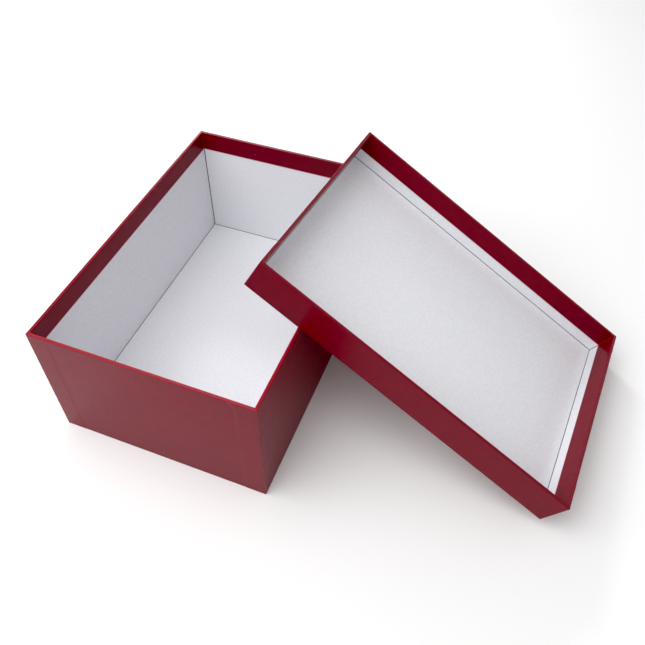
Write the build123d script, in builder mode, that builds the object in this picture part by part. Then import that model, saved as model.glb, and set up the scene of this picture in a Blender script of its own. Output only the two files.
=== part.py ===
from build123d import *
from dataclasses import dataclass
import math
import os

# Rigid gift box in two halves. The base stands open on the floor. The lid lies open side up and
# leans: its underside rests on the base's right rim and one corner of its low end is on the floor.
# Each half is a tray: a folded greyboard blank lined with white paper, gummed stays round its
# four corners, and one sheet of red paper wrapped round the outside and turned in over the rim.
# Millimetres. Origin: centre of the base's underside. X across, Y along, +Z up.

# Outside sizes, over the paper
base_width = 200.0
base_length = 300.0
base_height = 127.0
lid_height = 33.5
lid_play = 0.3  # between the base and the lid, on each side, when the box is closed

# Materials
board_thickness = 2.0
lining_thickness = 0.15
wrap_thickness = 0.2
stay_thickness = 0.15

# Paper work
stay_leg = 15.0  # a corner stay's reach from the corner, each way
tab_width = 17.0  # the wrap's tabs that go round the corners, under the end panels
turn_in = 20.0  # how far the wrap reaches down inside the rim
fold_radius = 0.5  # of the wrap at the four upright corners

# Grooves of the folded blank
groove_width = 0.3
groove_skin = 0.35  # board left uncut behind a floor groove
lining_margin = 0.5  # from the edge of a lining to the corner that it stops at

# How the lid lies
lid_overhang = 36.4  # how far the lid runs on past the rim that it rests on
lid_turn = 6.0  # degrees, the lid's turn in its own plane
lid_corner_back = 111.7  # where the corner that is on the floor stands, along Y
rest_gap = 0.3  # between the lid and the rim under it


@dataclass
class Tray:
    """One half of the box, opening along its seat's z."""

    seat: Plane
    width: float
    length: float
    height: float

    @property
    def board_width(self):
        return self.width - 2 * (stay_thickness + wrap_thickness)

    @property
    def board_length(self):
        # the end panels lie over the tabs, so there is one more layer of paper here
        return self.length - 2 * (stay_thickness + 2 * wrap_thickness)

    @property
    def inner_width(self):
        return self.board_width - 2 * board_thickness

    @property
    def inner_length(self):
        return self.board_length - 2 * board_thickness

    @property
    def floor(self):
        return wrap_thickness + board_thickness

    @property
    def board_top(self):
        return self.height - wrap_thickness

    def level(self, height):
        return self.seat.offset(height)

    def across(self, x_dir, z_dir):
        """A plane through the seat's origin, with axes given in the seat's own directions."""
        origin = self.seat.from_local_coords((0, 0, 0))
        turned = [self.seat.from_local_coords(axis) - origin for axis in (x_dir, z_dir)]
        return Plane(origin=origin, x_dir=turned[0], z_dir=turned[1])


def toward(side):
    """Aligns a shape so that its edge on the given side is at its location."""
    return Align.MAX if side > 0 else Align.MIN


def make_board(tray):
    """The folded blank: its walls are joined to its floor by the skin behind each groove."""
    corner_x, corner_y = tray.inner_width / 2, tray.inner_length / 2
    mouth = groove_width  # a groove starts this far inside the corner
    diagonal = board_thickness * math.sqrt(2)
    floor_cut = mouth + diagonal - groove_skin * math.sqrt(2)
    corner_cut = 2 * mouth + diagonal
    floor_middle = (floor_cut / 2 - mouth) / math.sqrt(2)
    with BuildPart() as board:
        with BuildSketch(tray.level(wrap_thickness)):
            Rectangle(tray.board_width, tray.board_length)
        extrude(amount=tray.board_top - wrap_thickness)
        with BuildSketch(tray.level(tray.floor)):
            Rectangle(tray.inner_width, tray.inner_length)
        extrude(amount=tray.height, mode=Mode.SUBTRACT)
        # grooves along the two long folds, then along the two short ones
        for reach, run, x_dir, z_dir in (
            (corner_x, tray.inner_length, (1, 0, 0), (0, -1, 0)),
            (corner_y, tray.inner_width, (0, 1, 0), (1, 0, 0)),
        ):
            with BuildSketch(tray.across(x_dir, z_dir)):
                for side in (-1, 1):
                    with Locations((side * (reach + floor_middle), tray.floor - floor_middle)):
                        Rectangle(floor_cut, groove_width, rotation=-45 * side)
            extrude(amount=run / 2, both=True, mode=Mode.SUBTRACT)
        # the walls meet at the corners without joining
        with BuildSketch(tray.level(tray.floor)):
            for side in (-1, 1):
                for end in (-1, 1):
                    middle = (board_thickness / 2 + corner_x, board_thickness / 2 + corner_y)
                    with Locations((side * middle[0], end * middle[1])):
                        Rectangle(corner_cut, groove_width, rotation=45 * side * end)
        extrude(amount=tray.height, mode=Mode.SUBTRACT)
    return board.part


def make_floor_lining(tray):
    with BuildPart() as lining:
        with BuildSketch(tray.level(tray.floor)):
            Rectangle(
                tray.inner_width - 2 * lining_margin,
                tray.inner_length - 2 * lining_margin,
            )
        extrude(amount=lining_thickness)
    return lining.part


def make_wall_lining(tray, x_side, y_side):
    """The lining of one wall, from the floor groove up to the rim."""
    inset = lining_thickness / 2
    if x_side:
        size = (lining_thickness, tray.inner_length - 2 * lining_margin)
    else:
        size = (tray.inner_width - 2 * lining_margin, lining_thickness)
    middle = (
        x_side * (tray.inner_width / 2 - inset),
        y_side * (tray.inner_length / 2 - inset),
    )
    start = tray.floor + lining_margin
    with BuildPart() as lining:
        with BuildSketch(tray.level(start)):
            with Locations(middle):
                Rectangle(*size)
        extrude(amount=tray.board_top - start)
    return lining.part


def stay_outline(tray, x_side, y_side):
    """Draws a stay's two legs into the sketch that is open."""
    corner_x, corner_y = tray.board_width / 2, tray.board_length / 2
    reach = stay_leg + stay_thickness
    along, across = reach / 2 - stay_thickness, stay_thickness / 2
    with Locations((x_side * (corner_x - along), y_side * (corner_y + across))):
        Rectangle(reach, stay_thickness)
    with Locations((x_side * (corner_x + across), y_side * (corner_y - along))):
        Rectangle(stay_thickness, reach)


def make_stay(tray, x_side, y_side):
    with BuildPart() as stay:
        with BuildSketch(tray.level(wrap_thickness)):
            stay_outline(tray, x_side, y_side)
        extrude(amount=tray.board_top - wrap_thickness)
    return stay.part


def make_wrap(tray):
    """The red sheet: underside, four panels with the tabs under the end ones, rim and turn-ins."""
    lined_width = tray.inner_width - 2 * lining_thickness
    lined_length = tray.inner_length - 2 * lining_thickness
    half_width, half_length = tray.board_width / 2, tray.board_length / 2
    depth = board_thickness  # of each step's outline: any will do, as the middle is cored out
    # the side panels step out over the stays, and the end panels over a stay, a tab or both
    steps = (
        (stay_leg, stay_thickness),
        (tab_width, wrap_thickness),
        (min(stay_leg, tab_width), stay_thickness + wrap_thickness),
    )
    with BuildPart() as wrap:
        with BuildSketch(tray.level(0)):
            Rectangle(tray.board_width + 2 * wrap_thickness, tray.board_length + 2 * wrap_thickness)
            for side in (-1, 1):
                for end in (-1, 1):
                    with Locations((side * tray.width / 2, end * tray.length / 2)):
                        reach = stay_leg + wrap_thickness + tray.length / 2 - half_length
                        Rectangle(depth, reach, align=(toward(side), toward(end)))
                    for leg, layer in steps:
                        outside = half_length + wrap_thickness + layer
                        with Locations((side * tray.width / 2, end * outside)):
                            reach = leg + wrap_thickness + tray.width / 2 - half_width
                            Rectangle(reach, depth, align=(toward(side), toward(end)))
            RectangleRounded(tray.width, tray.length, fold_radius, mode=Mode.INTERSECT)
        extrude(amount=tray.height)
        with BuildSketch(tray.level(wrap_thickness)):
            Rectangle(tray.board_width, tray.board_length)
            for side in (-1, 1):
                for end in (-1, 1):
                    stay_outline(tray, side, end)
        extrude(amount=tray.board_top - wrap_thickness, mode=Mode.SUBTRACT)
        with BuildSketch(tray.level(tray.height - turn_in)):
            Rectangle(lined_width, lined_length)
        extrude(amount=turn_in)
        with BuildSketch(tray.level(tray.floor)):
            Rectangle(lined_width - 2 * wrap_thickness, lined_length - 2 * wrap_thickness)
        extrude(amount=tray.height, mode=Mode.SUBTRACT)
    return wrap.part


def lid_seat(lid_width, lid_length):
    """The lid's own plane: its underside, leaning on the base's rim with one corner on the floor."""
    slope_run = lid_length - lid_overhang
    slope = math.asin(base_height / math.hypot(slope_run, rest_gap)) + math.atan(rest_gap / slope_run)
    turn = math.radians(lid_turn)
    down_slope = Vector(math.cos(slope), 0, -math.sin(slope))
    level_way = Vector(0, 1, 0)
    normal = Vector(math.sin(slope), 0, math.cos(slope))
    over_rim = Vector(base_width / 2, lid_corner_back, base_height) + normal * rest_gap
    floor_corner = over_rim + down_slope * slope_run
    x_dir = level_way * math.cos(turn) + down_slope * math.sin(turn)
    y_dir = level_way * math.sin(turn) - down_slope * math.cos(turn)
    middle = floor_corner - x_dir * (lid_width / 2) + y_dir * (lid_length / 2)
    return Plane(origin=middle, x_dir=x_dir, z_dir=normal)


side_build_up = board_thickness + lining_thickness + stay_thickness + 2 * wrap_thickness
lid_width = base_width + 2 * (lid_play + side_build_up)
lid_length = base_length + 2 * (lid_play + side_build_up + wrap_thickness)

trays = {
    "base": Tray(Plane.XY, base_width, base_length, base_height),
    "lid": Tray(lid_seat(lid_width, lid_length), lid_width, lid_length, lid_height),
}
walls = {"left": (-1, 0), "right": (1, 0), "front": (0, -1), "back": (0, 1)}
corners = {
    "front_left": (-1, -1),
    "front_right": (1, -1),
    "back_left": (-1, 1),
    "back_right": (1, 1),
}

os.makedirs("parts", exist_ok=True)
for half, tray in trays.items():
    pieces = {
        "board": make_board(tray),
        "floor_lining" if half == "base" else "top_lining": make_floor_lining(tray),
        "wrap": make_wrap(tray),
    }
    for wall, (x_side, y_side) in walls.items():
        pieces[f"{wall}_lining"] = make_wall_lining(tray, x_side, y_side)
    for corner, (x_side, y_side) in corners.items():
        pieces[f"{corner}_stay"] = make_stay(tray, x_side, y_side)
    for name, piece in pieces.items():
        piece.label = f"{half}_{name}"
        export_step(piece, f"parts/{piece.label}.step")
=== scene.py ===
import math

import bmesh
import bpy
from mathutils import Matrix, Vector, noise


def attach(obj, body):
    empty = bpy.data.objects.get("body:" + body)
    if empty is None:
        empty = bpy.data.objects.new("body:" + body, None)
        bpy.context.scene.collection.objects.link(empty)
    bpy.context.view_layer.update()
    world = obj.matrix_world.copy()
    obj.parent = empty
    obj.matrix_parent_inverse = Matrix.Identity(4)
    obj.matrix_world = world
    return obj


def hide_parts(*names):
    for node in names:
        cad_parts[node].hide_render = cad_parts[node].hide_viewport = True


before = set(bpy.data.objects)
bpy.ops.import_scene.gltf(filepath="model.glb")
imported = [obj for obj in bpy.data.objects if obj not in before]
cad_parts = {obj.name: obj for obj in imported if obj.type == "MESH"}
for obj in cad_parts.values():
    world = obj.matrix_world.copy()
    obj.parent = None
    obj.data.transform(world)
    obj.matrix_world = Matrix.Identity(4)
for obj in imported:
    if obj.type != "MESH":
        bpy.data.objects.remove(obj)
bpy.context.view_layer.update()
print("frame loaded,", len(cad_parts), "nodes")

mm = 0.001  # pieces are drawn in millimetres, each in its own tray's directions


# what both halves of the box are made of, in mm
paperwork = {
    "board": 2.0,  # greyboard
    "lining": 0.15,
    "wrap": 0.2,
    "stay": 0.15,  # gummed tape round each corner, under the wrap
    "stayLeg": 15.0,
    "tab": 17.0,  # the wrap's corner tabs, under the end panels
    "turnIn": 20.0,
}
# what lies over the board at a corner: on a long wall, and on an end wall with its tab
sideBuildUp = paperwork["stay"] + paperwork["wrap"]
endBuildUp = paperwork["stay"] + 2 * paperwork["wrap"]


def middle(mesh):
    return sum((vertex.co for vertex in mesh.vertices), Vector()) / len(mesh.vertices)


def flatSide(mesh, towards):
    # which way the widest face of a thin sheet looks, on the side that is asked for
    widest = max(mesh.polygons, key=lambda face: face.area)
    return widest.normal if widest.normal.dot(towards) > 0 else -widest.normal


def findTray(half, bottom):
    # the linings lie square to the tray's three directions
    parts = {part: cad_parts[half + "_" + part].data for part in (bottom, "left_lining", "wrap")}
    centre = middle(parts["wrap"])
    up = flatSide(parts[bottom], centre - middle(parts[bottom]))
    across = flatSide(parts["left_lining"], centre - middle(parts["left_lining"]))
    along = up.cross(across)
    spans = []
    for axis in (across, along, up):
        reach = [vertex.co.dot(axis) for vertex in parts["wrap"].vertices]
        spans.append((min(reach), max(reach)))
    origin = across * sum(spans[0]) / 2 + along * sum(spans[1]) / 2 + up * spans[2][0]
    seat = Matrix((across, along, up)).transposed().to_4x4()
    seat.translation = origin
    size = [(high - low) / mm for low, high in spans]
    return {
        "half": half, "bottom": bottom, "seat": seat,
        "width": size[0], "length": size[1], "height": size[2],
    }


trays = {"base": findTray("base", "floor_lining"), "lid": findTray("lid", "top_lining")}
for tray in trays.values():
    print(tray["half"], "tray", [round(tray[side], 1) for side in ("width", "length", "height")], "mm")


def addObject(name, bm, tray, materials):
    # the drawing is in mm at the tray's own origin: this puts it in place, in metres
    bm.transform(tray["seat"] @ Matrix.Scale(mm, 4))
    bmesh.ops.recalc_face_normals(bm, faces=bm.faces)
    mesh = bpy.data.meshes.new(name)
    bm.to_mesh(mesh)
    bm.free()
    piece = bpy.data.objects.new(name, mesh)
    bpy.context.scene.collection.objects.link(piece)
    for material in materials:
        mesh.materials.append(material)
    for face in mesh.polygons:
        face.use_smooth = True
    return piece


# materials

def linear(hexColour):
    # sRGB hex to linear
    parts = [int(hexColour[i:i + 2], 16) / 255 for i in (1, 3, 5)]
    return [p / 12.92 if p <= 0.04045 else ((p + 0.055) / 1.055) ** 2.4 for p in parts] + [1.0]


def addNode(tree, kind, settings=None, links=None):
    # links go from an input's name or number to an output of another node
    node = tree.nodes.new(kind)
    for key, value in (settings or {}).items():
        if key in node.inputs:
            node.inputs[key].default_value = value
        else:
            setattr(node, key, value)
    for key, source in (links or {}).items():
        tree.links.new(source, node.inputs[key])
    return node


def startMaterial(name, shader):
    material = bpy.data.materials.new(name)
    material.use_nodes = True
    tree = material.node_tree
    tree.nodes.clear()
    surface = addNode(tree, "ShaderNodeBsdfPrincipled", shader)
    addNode(tree, "ShaderNodeOutputMaterial", links={"Surface": surface.outputs["BSDF"]})
    where = addNode(tree, "ShaderNodeTexCoord").outputs["Object"]
    return material, tree, surface, where


def perMetre(size):
    # a noise scale for features that are this many mm across
    return 1 / (size * mm)


def setTones(ramp, colours, places):
    # from one colour to the other, between two places on the ramp
    for i in (0, 1):
        ramp.elements[i].color = linear(colours[i])
        ramp.elements[i].position = places[i]


wrapFinish = {
    "tones": ("#6c1223", "#7a1526"),
    "toneRange": (0.3, 0.7),  # noise from the first tone to the second
    "cloud": 7.0,  # mm, where the print is a little uneven
    "stretchedHighlight": "#c02238",  # a brighter red over a fold: painted highlight, with a little real stretching of the print
    "worn": "#a8606c",  # rubbed along an upright fold
    "paleStrip": "#e8b9bd",  # a pale strip just above the turn-in's lower edge
    "cutEdge": "#d9b7b9",  # and on the cut itself
    "cutRoughness": 0.8,
    "scuff": 2.0,  # mm, how long a worn spot on a fold is
    "scuffRange": (0.48, 0.6),  # noise from unworn to worn
    "dust": "#a8848a",
    "dustSpacing": 22.0,  # mm between specks
    "speck": 0.02,  # radius of a speck, of the space between them
    "speckCore": 0.6,  # how much of that radius is its full colour
    "gloss": 0.22,
    "roughness": 0.36,
    "roughnessSpread": 0.04,  # either way, with the cloud
    # mm across and mm deep
    "reliefs": (
        {"size": 14.0, "detail": 2.0, "depth": 0.4, "strength": 0.4},  # ripples left by the glue
        {"size": 3.0, "detail": 3.0, "depth": 0.1, "strength": 0.4},  # the board's pulp, under it
        {"size": 0.35, "detail": 4.0, "depth": 0.03, "strength": 0.2},  # paper fibres
    ),
}


def makeWrapPaper(finish):
    # art paper printed red under a matt film: a soft sheen over an even colour
    material, tree, surface, where = startMaterial(
        "matt laminated art paper", {"IOR": 1.5, "Specular IOR Level": finish["gloss"]}
    )
    cloud = addNode(
        tree,
        "ShaderNodeTexNoise",
        {"Scale": perMetre(finish["cloud"]), "Detail": 6.0, "Roughness": 0.72},
        {"Vector": where},
    )
    tone = addNode(tree, "ShaderNodeValToRGB", links={"Fac": cloud.outputs["Fac"]})
    setTones(tone.color_ramp, finish["tones"], finish["toneRange"])
    # a few specks of pale dust
    dust = addNode(
        tree, "ShaderNodeTexVoronoi", {"Scale": perMetre(finish["dustSpacing"])}, {"Vector": where}
    )
    speckCore = finish["speck"] * finish["speckCore"]
    speck = addNode(
        tree,
        "ShaderNodeMapRange",
        {"From Min": speckCore, "From Max": finish["speck"], "To Min": 1.0, "To Max": 0.0},
        {"Value": dust.outputs["Distance"]},
    )
    scuff = addNode(
        tree,
        "ShaderNodeTexNoise",
        {"Scale": perMetre(finish["scuff"]), "Detail": 3.0},
        {"Vector": where},
    )
    unworn, fullyWorn = finish["scuffRange"]
    rubbed = addNode(
        tree,
        "ShaderNodeMapRange",
        {"From Min": unworn, "From Max": fullyWorn},
        {"Value": scuff.outputs["Fac"]},
    )
    marks = {}
    # one of these marks paints a brighter red on the folds and rim as highlight
    for name in ("stretchedHighlight", "worn", "paleStrip"):
        marks[name] = addNode(tree, "ShaderNodeAttribute", {"attribute_name": name}).outputs["Fac"]
    spots = addNode(
        tree,
        "ShaderNodeMath",
        {"operation": "MULTIPLY"},
        {0: marks["worn"], 1: rubbed.outputs["Result"]},
    )
    # each colour goes over the ones before it
    colour = tone.outputs["Color"]
    for name, amount in (
        ("dust", speck.outputs["Result"]),
        ("stretchedHighlight", marks["stretchedHighlight"]),
        ("worn", spots.outputs["Value"]),
        ("paleStrip", marks["paleStrip"]),
    ):
        over = addNode(tree, "ShaderNodeMix", {"data_type": "RGBA"}, {"Factor": amount, 6: colour})
        over.inputs[7].default_value = linear(finish[name])
        colour = over.outputs[2]
    tree.links.new(colour, surface.inputs["Base Color"])
    smoothest = finish["roughness"] - finish["roughnessSpread"]
    roughest = finish["roughness"] + finish["roughnessSpread"]
    rough = addNode(
        tree,
        "ShaderNodeMapRange",
        {"To Min": smoothest, "To Max": roughest},
        {"Value": cloud.outputs["Fac"]},
    )
    tree.links.new(rough.outputs["Result"], surface.inputs["Roughness"])
    # each relief stands on the one before it
    under = {}
    for relief in finish["reliefs"]:
        pattern = addNode(
            tree,
            "ShaderNodeTexNoise",
            {"Scale": perMetre(relief["size"]), "Detail": relief["detail"]},
            {"Vector": where},
        )
        bump = addNode(
            tree,
            "ShaderNodeBump",
            {"Strength": relief["strength"], "Distance": relief["depth"] * mm},
            {"Height": pattern.outputs["Fac"], **under},
        )
        under = {"Normal": bump.outputs["Normal"]}
    tree.links.new(bump.outputs["Normal"], surface.inputs["Normal"])
    return material


def makeCutEdge(finish):
    # the pale core of the paper, which shows only where the sheet is cut
    shader = {"Roughness": finish["cutRoughness"], "Base Color": linear(finish["cutEdge"])}
    return startMaterial("cut edge of the paper", shader)[0]


liningFinish = {
    "tones": ("#e1e2e7", "#e9eaee"),
    "toneRange": (0.35, 0.65),
    "mottle": 2.2,  # mm, clay coating over uneven board
    "fleck": 1.1,  # mm
    "fleckDepth": 0.05,  # mm
    "roughness": 0.5,
}


def makeLiningPaper(finish):
    # clay-coated white liner: nearly matt, faintly mottled by the grey board under it
    material, tree, surface, where = startMaterial(
        "clay-coated white liner", {"IOR": 1.5, "Roughness": finish["roughness"]}
    )
    mottle = addNode(
        tree,
        "ShaderNodeTexNoise",
        {"Scale": perMetre(finish["mottle"]), "Detail": 5.0},
        {"Vector": where},
    )
    tone = addNode(tree, "ShaderNodeValToRGB", links={"Fac": mottle.outputs["Fac"]})
    setTones(tone.color_ramp, finish["tones"], finish["toneRange"])
    tree.links.new(tone.outputs["Color"], surface.inputs["Base Color"])
    fleck = addNode(
        tree,
        "ShaderNodeTexNoise",
        {"Scale": perMetre(finish["fleck"]), "Detail": 3.0},
        {"Vector": where},
    )
    bump = addNode(
        tree,
        "ShaderNodeBump",
        {"Strength": 0.15, "Distance": finish["fleckDepth"] * mm},
        {"Height": fleck.outputs["Fac"]},
    )
    tree.links.new(bump.outputs["Normal"], surface.inputs["Normal"])
    return material


boardFinish = {
    "tones": ("#3f3e3a", "#6b6964"),
    "toneRange": (0.35, 0.7),
    "fleck": 0.8,  # mm
    "fleckDepth": 0.1,  # mm
    "roughness": 0.9,
}


def makeGreyboard(finish):
    # pulped waste paper: grey, matt, with dark and light flecks
    material, tree, surface, where = startMaterial("greyboard", {"Roughness": finish["roughness"]})
    fleck = addNode(
        tree,
        "ShaderNodeTexNoise",
        {"Scale": perMetre(finish["fleck"]), "Detail": 6.0},
        {"Vector": where},
    )
    tone = addNode(tree, "ShaderNodeValToRGB", links={"Fac": fleck.outputs["Fac"]})
    setTones(tone.color_ramp, finish["tones"], finish["toneRange"])
    tree.links.new(tone.outputs["Color"], surface.inputs["Base Color"])
    bump = addNode(
        tree,
        "ShaderNodeBump",
        {"Strength": 0.4, "Distance": finish["fleckDepth"] * mm},
        {"Height": fleck.outputs["Fac"]},
    )
    tree.links.new(bump.outputs["Normal"], surface.inputs["Normal"])
    return material


tapeFinish = {
    "tones": ("#8a6742", "#b48d5f"),
    "toneRange": (0.0, 1.0),
    "fibre": 0.6,  # mm
    "drawnOut": (1.0, 1.0, 0.15),  # the fibres are longer upright
    "roughness": 0.75,
}


def makeKraft(finish):
    # gummed kraft tape: brown, with fibres drawn out along it
    material, tree, surface, where = startMaterial(
        "gummed kraft tape", {"Roughness": finish["roughness"]}
    )
    drawn = addNode(tree, "ShaderNodeMapping", {"Scale": finish["drawnOut"]}, {"Vector": where})
    fibre = addNode(
        tree,
        "ShaderNodeTexNoise",
        {"Scale": perMetre(finish["fibre"]), "Detail": 5.0},
        {"Vector": drawn.outputs["Vector"]},
    )
    tone = addNode(tree, "ShaderNodeValToRGB", links={"Fac": fibre.outputs["Fac"]})
    setTones(tone.color_ramp, finish["tones"], finish["toneRange"])
    tree.links.new(tone.outputs["Color"], surface.inputs["Base Color"])
    return material


wrapPaper = makeWrapPaper(wrapFinish)
cutEdge = makeCutEdge(wrapFinish)
liningPaper = makeLiningPaper(liningFinish)
greyboard = makeGreyboard(boardFinish)
kraft = makeKraft(tapeFinish)
print("materials made")


# wrap

wrap = {
    "fold": 0.48,  # mm, radius of the paper where it goes over an edge of the board
    "foldSegments": 3,
    "foldTurn": 1.0,  # radians, an edge that turns more than this is a fold
    "corner": 1.1,  # mm, the turn-in bridges the upright corners inside
    "cornerSegments": 2,
    "rimSteps": 3,  # strips of paper across the rim
    "rimDip": 0.26,  # mm, the rim is a little hollow between its two folds
    "dipSlope": 1.2,  # how steeply the hollow rises towards them
    "grid": 8.0,  # mm, between the cuts that let the paper follow what is under it
    "nearFold": 1.6,  # mm, a cut here keeps a fold's shading off the flat panel
    "nearCorner": 0.4,  # mm, from a bridged corner to the next cut
    "ramp": 1.8,  # mm, how quickly the paper comes down off a tab or stay
    "rampCuts": (-2, -1, -0.5, 0, 1),  # ramps from the edge of the tab or stay
    "follow": 0.45,  # how much of a tab's or stay's thickness shows through the paper
    "flare": 8.0,  # mm, below the rim, where a tab's edge slants away from the corner
    "flareSlope": 0.7,  # how far it goes across for each step up
    "flareReach": (2.5, 1.5),  # ramps inwards and outwards that slant with it
    "wave": 0.05,  # mm, how far the paper sinks between its ripples
    "waveLength": 38.0,
    "cut": 0.4,  # mm, how far the white shows above the turn-in's lower edge
    "cutFade": 0.15,  # mm, over which it ends
    "close": 1.0,  # mm, what is this close to an outer face belongs to it
    "slack": 0.05,  # mm, allowed when telling where a point lies
    # the folds at the rim, which get the painted highlight: how far down, of the fold's radius, and
    # how far in, of the rim's thickness, the outer one ends, the inner one starts and the wall starts
    "foldDepth": 0.8,
    "outerFoldEnd": 0.3,
    "innerFoldStart": 0.7,
    "wallStart": 0.9,
    # how much brighter red each place is: painted highlight, with a little real stretching of the
    # print
    "stretchHighlight": {
        "inner fold": 0.85, "outer fold": 0.5, "rim": 0.2, "corner": 0.25, "upright fold": 0.15,
    },
    # how much of the first three each rim gets, more on the rims that catch the light: left, right,
    # front, back
    "rimHighlight": {"base": (0.5, 1.0, 1.0, 0.3), "lid": (0.1, 0.1, 0.2, 0.2)},
    "worn": 0.6,  # how far the spots on the upright folds are rubbed
}


def cutAcross(bm, axis, places):
    # adds a loop of edges round the whole piece at each place
    onTheCut = 1e-5  # mm, a point this close to a cut is on it
    normal = Vector((0, 0, 0))
    normal[axis] = 1
    for place in places:
        geom = bm.verts[:] + bm.edges[:] + bm.faces[:]
        bmesh.ops.bisect_plane(
            bm, geom=geom, dist=onTheCut, plane_co=normal * place, plane_no=normal
        )


def evenPlaces(low, high, step):
    count = max(1, round((high - low) / step))
    return [low + (high - low) * i / count for i in range(1, count)]


def smoothStep(value):
    value = min(max(value, 0.0), 1.0)
    return value * value * (3 - 2 * value)


def bevelFolds(bm, folds, size, segments):
    bmesh.ops.bevel(
        bm, geom=folds, offset=size, offset_type="OFFSET", segments=segments,
        profile=0.5, affect="EDGES", material=-1, clamp_overlap=True,
    )


def measureSheet(tray):
    # the tray's sizes with the wrap's own lines on it, in mm
    under = paperwork["board"] + paperwork["lining"] + paperwork["wrap"]
    lowerEdge = tray["height"] - paperwork["turnIn"]
    return {
        **tray,
        "rimAcross": under + sideBuildUp,
        "rimAlong": under + endBuildUp,
        "lowerEdge": lowerEdge,
        "cutTop": lowerEdge + wrap["cut"],
        "flareStart": tray["height"] - wrap["flare"],
        "tabLine": tray["width"] / 2 - sideBuildUp - paperwork["tab"],
        "stayLine": tray["length"] / 2 - endBuildUp - paperwork["stayLeg"],
    }


def foldOverRim(sheet):
    # an open tray of paper, over the rim in strips, then down inside as the turn-in
    height, steps = sheet["height"], wrap["rimSteps"]
    bm = bmesh.new()
    bmesh.ops.create_cube(bm, size=1.0)
    bmesh.ops.scale(bm, vec=(sheet["width"], sheet["length"], height), verts=bm.verts)
    bmesh.ops.translate(bm, vec=(0, 0, height / 2), verts=bm.verts)
    top = [face for face in bm.faces if face.normal.z > 0.5]
    bmesh.ops.delete(bm, geom=top, context="FACES_ONLY")
    edgeLoop = [edge for edge in bm.edges if edge.is_boundary]
    for step in range(steps + 1):
        new = bmesh.ops.extrude_edge_only(bm, edges=edgeLoop)["geom"]
        edgeLoop = [item for item in new if isinstance(item, bmesh.types.BMEdge) and item.is_boundary]
        for vertex in (item for item in new if isinstance(item, bmesh.types.BMVert)):
            if step == steps:
                vertex.co.z = sheet["lowerEdge"]
            else:
                vertex.co.x -= math.copysign(sheet["rimAcross"] / steps, vertex.co.x)
                vertex.co.y -= math.copysign(sheet["rimAlong"] / steps, vertex.co.y)
    return bm


def sharpEdges(bm):
    return [
        edge for edge in bm.edges
        if len(edge.link_faces) == 2 and edge.calc_face_angle() > wrap["foldTurn"]
    ]


def roundFolds(bm):
    # the corners inside first: they are upright, and start well above the floor
    corners = []
    for edge in sharpEdges(bm):
        low, high = sorted(vertex.co.z for vertex in edge.verts)
        if low > wrap["close"] and high - low > wrap["close"]:
            corners.append(edge)
    bevelFolds(bm, corners, wrap["corner"], wrap["cornerSegments"])
    bevelFolds(bm, sharpEdges(bm), wrap["fold"], wrap["foldSegments"])


def cutPanels(bm, sheet):
    # loops where the paper comes down off a tab or stay, beside the folds, and between
    near = wrap["nearFold"]
    for axis, side, line, rim in (
        (0, sheet["width"] / 2, sheet["tabLine"], sheet["rimAcross"]),
        (1, sheet["length"] / 2, sheet["stayLine"], sheet["rimAlong"]),
    ):
        places = [line + wrap["ramp"] * ramps for ramps in wrap["rampCuts"]]
        innermost = places[0]
        places += [side - near, side - rim - wrap["corner"] - wrap["nearCorner"]]
        cutAcross(bm, axis, [way * place for place in places for way in (-1, 1)])
        cutAcross(bm, axis, evenPlaces(-innermost, innermost, wrap["grid"]))
    cutTop = sheet["cutTop"]
    levels = [near, sheet["height"] - near, sheet["flareStart"], cutTop, cutTop + wrap["cutFade"]]
    cutAcross(bm, 2, levels + evenPlaces(near, sheet["lowerEdge"], wrap["grid"]))


def findDepths(place, sheet):
    # how far in a point is, in mm, from the long walls' outer faces and from the end walls',
    # and how far through the rim: 0 outside, 1 inside
    sideDepth, endDepth = sheet["width"] / 2 - abs(place.x), sheet["length"] / 2 - abs(place.y)
    return sideDepth, endDepth, sideDepth / sheet["rimAcross"], endDepth / sheet["rimAlong"]


def markPaper(bm, sheet):
    # the marks that the wrap's material reads
    stretchedHighlight = bm.verts.layers.float.new("stretchedHighlight")
    paleStrip = bm.verts.layers.float.new("paleStrip")
    worn = bm.verts.layers.float.new("worn")
    # each rim's share of the painted highlight
    left, right, front, back = wrap["rimHighlight"][sheet["half"]]
    stretchHighlight, slack = wrap["stretchHighlight"], wrap["slack"]
    for vertex in bm.verts:
        place = vertex.co
        sideDepth, endDepth, across, along = findDepths(place, sheet)
        depth = min(across, along)
        if place.z > sheet["height"] - wrap["fold"] * wrap["foldDepth"]:
            where = "rim"
            if depth > wrap["innerFoldStart"]:
                where = "inner fold"
            elif depth < wrap["outerFoldEnd"]:
                where = "outer fold"
            if across < along:
                rimHighlight = left if place.x < 0 else right
            else:
                rimHighlight = front if place.y < 0 else back
            # a brighter red painted on the rim and its folds as highlight
            vertex[stretchedHighlight] = stretchHighlight[where] * rimHighlight
        elif depth > wrap["wallStart"] and place.z > sheet["lowerEdge"] - slack:
            bySide = sideDepth < sheet["rimAcross"] + wrap["corner"]
            byEnd = endDepth < sheet["rimAlong"] + wrap["corner"]
            if place.z < sheet["cutTop"] + slack:
                # a pale strip just above the turn-in's lower edge
                vertex[paleStrip] = 1.0
            elif bySide and byEnd:
                # a little painted highlight in the bridged corner
                vertex[stretchedHighlight] = stretchHighlight["corner"]
        elif max(sideDepth, endDepth) < wrap["fold"]:
            # a little painted highlight along the upright fold
            vertex[stretchedHighlight] = stretchHighlight["upright fold"]
            vertex[worn] = wrap["worn"]


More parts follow.
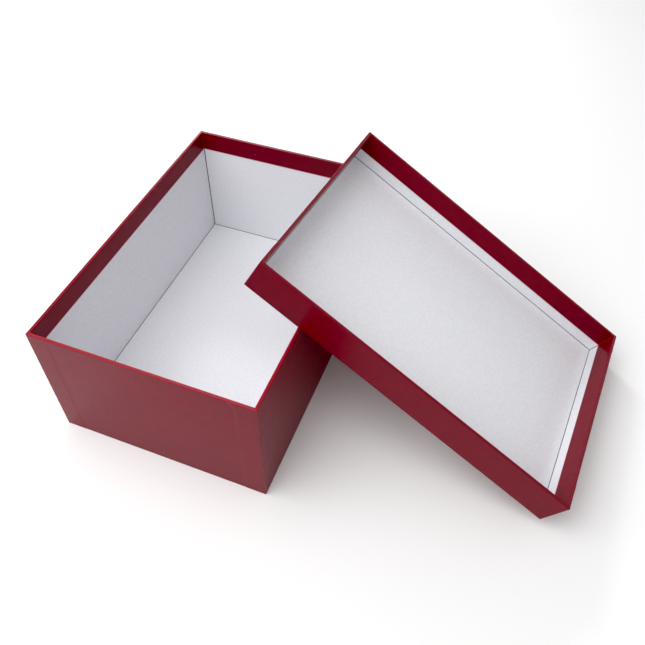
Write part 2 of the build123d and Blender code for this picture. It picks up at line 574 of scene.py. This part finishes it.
def settlePaper(bm, sheet):
    # the paper hollows along the rim, comes down off the tabs and stays, and ripples
    ramp, tabLine = wrap["ramp"], sheet["tabLine"]
    sideStep = wrap["follow"] * (sideBuildUp - paperwork["wrap"])
    endStep = wrap["follow"] * (endBuildUp - paperwork["wrap"])
    flareIn = tabLine - wrap["flareReach"][0] * ramp
    flareOut = tabLine + wrap["flareReach"][1] * ramp
    for vertex in bm.verts:
        place = vertex.co
        sideDepth, endDepth, across, along = findDepths(place, sheet)
        move = Vector((0, 0, 0))
        if place.z > sheet["height"] - wrap["slack"]:
            fromMiddle = abs(2 * min(across, along) - 1)
            move.z = -wrap["rimDip"] * max(0.0, 1 - fromMiddle * wrap["dipSlope"])
        drop = noise.noise(place / wrap["waveLength"]) * wrap["wave"]
        if endDepth < wrap["close"]:
            off = smoothStep((tabLine - abs(place.x)) / ramp)
            move.y = -math.copysign(off * endStep + drop, place.y)
            if flareIn < abs(place.x) < flareOut:
                slant = max(0.0, place.z - sheet["flareStart"]) * wrap["flareSlope"]
                move.x = -math.copysign(slant, place.x)
        if sideDepth < wrap["close"]:
            off = smoothStep((sheet["stayLine"] - abs(place.y)) / ramp)
            move.x = -math.copysign(off * sideStep + drop, place.x)
        vertex.co = place + move


def makeWrap(tray):
    sheet = measureSheet(tray)
    bm = foldOverRim(sheet)
    roundFolds(bm)
    cutPanels(bm, sheet)
    markPaper(bm, sheet)
    settlePaper(bm, sheet)
    piece = addObject(tray["half"] + "Wrap", bm, tray, [wrapPaper, cutEdge])
    skin = piece.modifiers.new("thickness", "SOLIDIFY")
    skin.thickness = paperwork["wrap"] * mm
    skin.offset = -1
    skin.use_even_offset = True
    skin.material_offset_rim = 1  # the cut edge
    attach(piece, tray["half"])
    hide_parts(tray["half"] + "_wrap")


for tray in trays.values():
    makeWrap(tray)
print("wraps made")


# linings

lining = {
    "edge": 0.04,  # mm, rounding left by the cutter
    "hardEdge": 30.0,  # degrees, a turn sharper than this is shaded as an edge
    "trim": {"base": 0.2, "lid": 0.0},  # mm, the deep walls' upright corners open a little
    "grid": 12.0,  # mm, between the cuts that let the paper wave
    "wave": 0.03,  # mm, how far the paper strays either way
    "waveLength": 30.0,
}


def trayBox(tray, node):
    # a node's lowest and highest corners in its tray's own directions, in mm
    back = tray["seat"].inverted()
    places = [back @ vertex.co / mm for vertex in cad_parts[node].data.vertices]
    low = Vector([min(place[axis] for place in places) for axis in range(3)])
    high = Vector([max(place[axis] for place in places) for axis in range(3)])
    return low, high


def makeLining(tray, part):
    node = tray["half"] + "_" + part
    low, high = trayBox(tray, node)
    size = high - low
    thin = min(range(3), key=lambda axis: size[axis])
    if thin != 2:
        # a wall: its ends are the ones across from its thickness
        size[1 - thin] -= 2 * lining["trim"][tray["half"]]
    bm = bmesh.new()
    bmesh.ops.create_cube(bm, size=1.0)
    bmesh.ops.scale(bm, vec=size, verts=bm.verts)
    bmesh.ops.translate(bm, vec=(low + high) / 2, verts=bm.verts)
    bevelFolds(bm, bm.edges[:], lining["edge"], 1)
    for axis in range(3):
        if axis != thin:
            cutAcross(bm, axis, evenPlaces(low[axis], high[axis], lining["grid"]))
    for vertex in bm.verts:
        vertex.co[thin] += noise.noise(vertex.co / lining["waveLength"]) * lining["wave"]
    name = tray["half"] + part.title().replace("_", "")
    piece = addObject(name, bm, tray, [liningPaper])
    piece.data.set_sharp_from_angle(angle=math.radians(lining["hardEdge"]))
    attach(piece, tray["half"])
    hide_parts(node)


walls = ("left_lining", "right_lining", "front_lining", "back_lining")
for tray in trays.values():
    for part in walls + (tray["bottom"],):
        makeLining(tray, part)
print("linings made")


# boards and stays keep their shapes

for name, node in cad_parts.items():
    for ending, material in (("_board", greyboard), ("_stay", kraft)):
        if name.endswith(ending):
            node.data.materials.clear()
            node.data.materials.append(material)
print("boards and stays finished")


# stage, light and camera

studio = {
    "floor": "#f8f8f8",
    "floorSize": 12.0,
    "floorDrop": 0.1,  # mm, keeps the floor clear of the base's underside
    "horizon": 0.58,  # how bright the room is to the sides, and overhead
    "overhead": 0.64,
    "key": {"place": (-0.2, -0.38, 0.86), "size": 1.0, "power": 7.2},
    "back": {"place": (-0.45, 1.0, 0.72), "size": 0.25, "power": 5.0},
    "aim": (0.1, 0.0, 0.06),
    "black": 0.018,  # light this low turns black
}

floorMesh = bpy.data.meshes.new("floor")
bm = bmesh.new()
bmesh.ops.create_grid(bm, x_segments=1, y_segments=1, size=studio["floorSize"] / 2)
bm.to_mesh(floorMesh)
bm.free()
floor = bpy.data.objects.new("floor", floorMesh)
floor.location.z = -studio["floorDrop"] * mm
bpy.context.scene.collection.objects.link(floor)
floorPaint = startMaterial(
    "white studio floor", {"Base Color": linear(studio["floor"]), "Roughness": 0.8}
)[0]
floorMesh.materials.append(floorPaint)

for name in ("key", "back"):
    lamp = studio[name]
    data = bpy.data.lights.new(name, "AREA")
    data.shape = "SQUARE"
    data.size = lamp["size"]
    data.energy = lamp["power"]
    light = bpy.data.objects.new(name, data)
    light.location = lamp["place"]
    towards = Vector(studio["aim"]) - light.location
    light.rotation_euler = towards.to_track_quat("-Z", "Y").to_euler()
    bpy.context.scene.collection.objects.link(light)

world = bpy.data.worlds.new("studio")
world.use_nodes = True
sky = world.node_tree
sky.nodes.clear()
direction = addNode(sky, "ShaderNodeTexCoord").outputs["Generated"]
upwards = addNode(sky, "ShaderNodeSeparateXYZ", links={"Vector": direction}).outputs["Z"]
glow = addNode(
    sky,
    "ShaderNodeMapRange",
    {"To Min": studio["horizon"], "To Max": studio["overhead"]},
    {"Value": upwards},
)
air = addNode(sky, "ShaderNodeBackground", links={"Strength": glow.outputs["Result"]})
air.inputs["Color"].default_value = (1.0, 1.0, 1.0, 1.0)
addNode(sky, "ShaderNodeOutputWorld", links={"Surface": air.outputs["Background"]})
bpy.context.scene.world = world
picture = bpy.context.scene.view_settings
picture.view_transform = "Standard"
picture.use_curve_mapping = True
picture.curve_mapping.black_level = (studio["black"],) * 3

view = {
    "place": (0.2366, -0.3888, 0.5357),
    "turn": (40.465, 0.575, 21.747),  # degrees
    "lens": 38.15,  # mm
    "shift": (0.0277, 0.0120),
}
cameraData = bpy.data.cameras.new("camera")
cameraData.lens = view["lens"]
cameraData.shift_x, cameraData.shift_y = view["shift"]
camera = bpy.data.objects.new("camera", cameraData)
camera.location = view["place"]
camera.rotation_euler = [math.radians(angle) for angle in view["turn"]]
bpy.context.scene.collection.objects.link(camera)
bpy.context.scene.camera = camera
print("studio set up")
